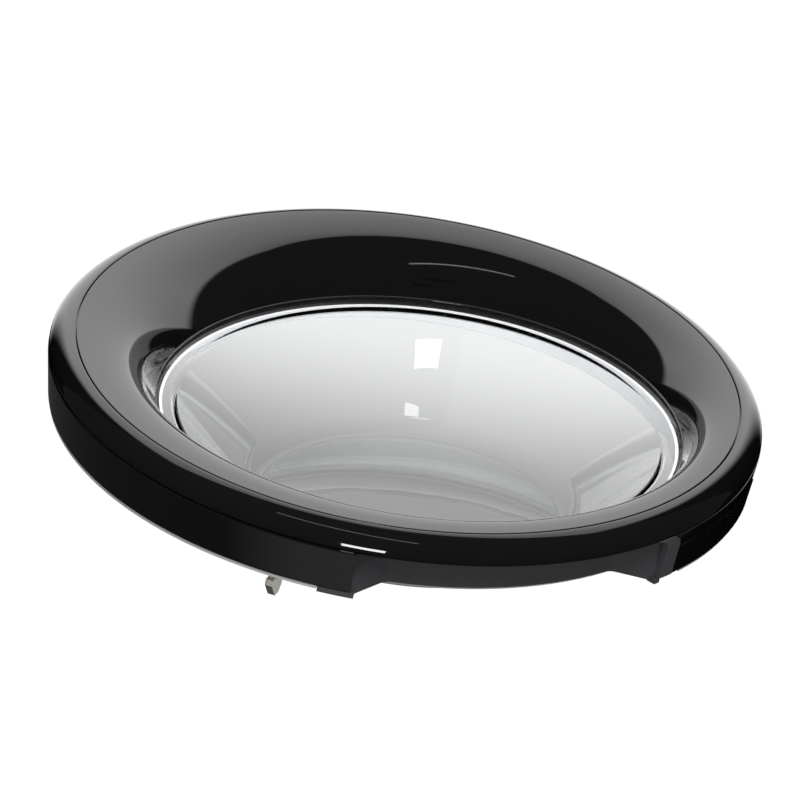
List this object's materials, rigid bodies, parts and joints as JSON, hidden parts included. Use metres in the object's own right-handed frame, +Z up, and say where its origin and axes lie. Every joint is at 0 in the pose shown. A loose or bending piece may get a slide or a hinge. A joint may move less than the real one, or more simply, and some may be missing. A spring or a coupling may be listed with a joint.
{
  "type": "washing machine door",
  "caption": "Round front-loader washing machine door: gloss black ring with a dished centre, clear glass bowl, finger grip, sprung latch hook and side hinge.",
  "frame": {"origin": "on the axis of the round frame, in the plane of the machine's front panel", "axes": "+Z up, -Y to the front of the machine, +X to the latch hook, so the hinge is at -X"},
  "size_m": [0.47, 0.1047, 0.4702],
  "materials": {
    "gloss_black_plastic": "high-gloss black",
    "clear_glass": "clear, fire-polished",
    "grey_plastic": "fine satin grain",
    "dark_grey_plastic": "satin",
    "black_rubber": "matt",
    "zinc_casting": "satin zinc die casting",
    "steel": "bright zinc plated",
    "bush_plastic": "natural acetal",
    "black_plastic": "satin"
  },
  "bodies": {
    "hinge_base": {"hinge_base": "zinc_casting", "hinge_pin": "steel", "pin_clip": "steel"},
    "door": {"outer_frame": "gloss_black_plastic", "dish_ring": "gloss_black_plastic", "glass_bowl": "clear_glass", "glass_gasket": "black_rubber", "inner_frame": "grey_plastic", "grip_insert": "dark_grey_plastic", "frame_screws": "steel", "grip_screws": "steel", "hinge_arm": "zinc_casting", "hinge_bush_upper": "bush_plastic", "hinge_bush_lower": "bush_plastic", "hinge_plate": "steel", "hinge_arm_screws": "steel", "hook_holder": "black_plastic", "hook_pin": "steel", "hook_spring": "steel", "hook_screws": "steel", "rubber_buffers": "black_rubber"},
    "hook": {"latch_hook": "zinc_casting"}
  },
  "joints": [
    {"name": "door_swing", "type": "hinge", "parent": "hinge_base", "child": "door", "pos_m": [-0.222, -0.02, 0], "axis": [0, 0, -1], "range_deg": [0, 120]},
    {"name": "hook_pivot", "type": "hinge", "parent": "door", "child": "hook", "pos_m": [0.199, -0.021, 0], "axis": [0, 0, 1], "range_deg": [0, 12], "stiffness_Nm_per_rad": 0.5, "springref_deg": -14.32}
  ]
}
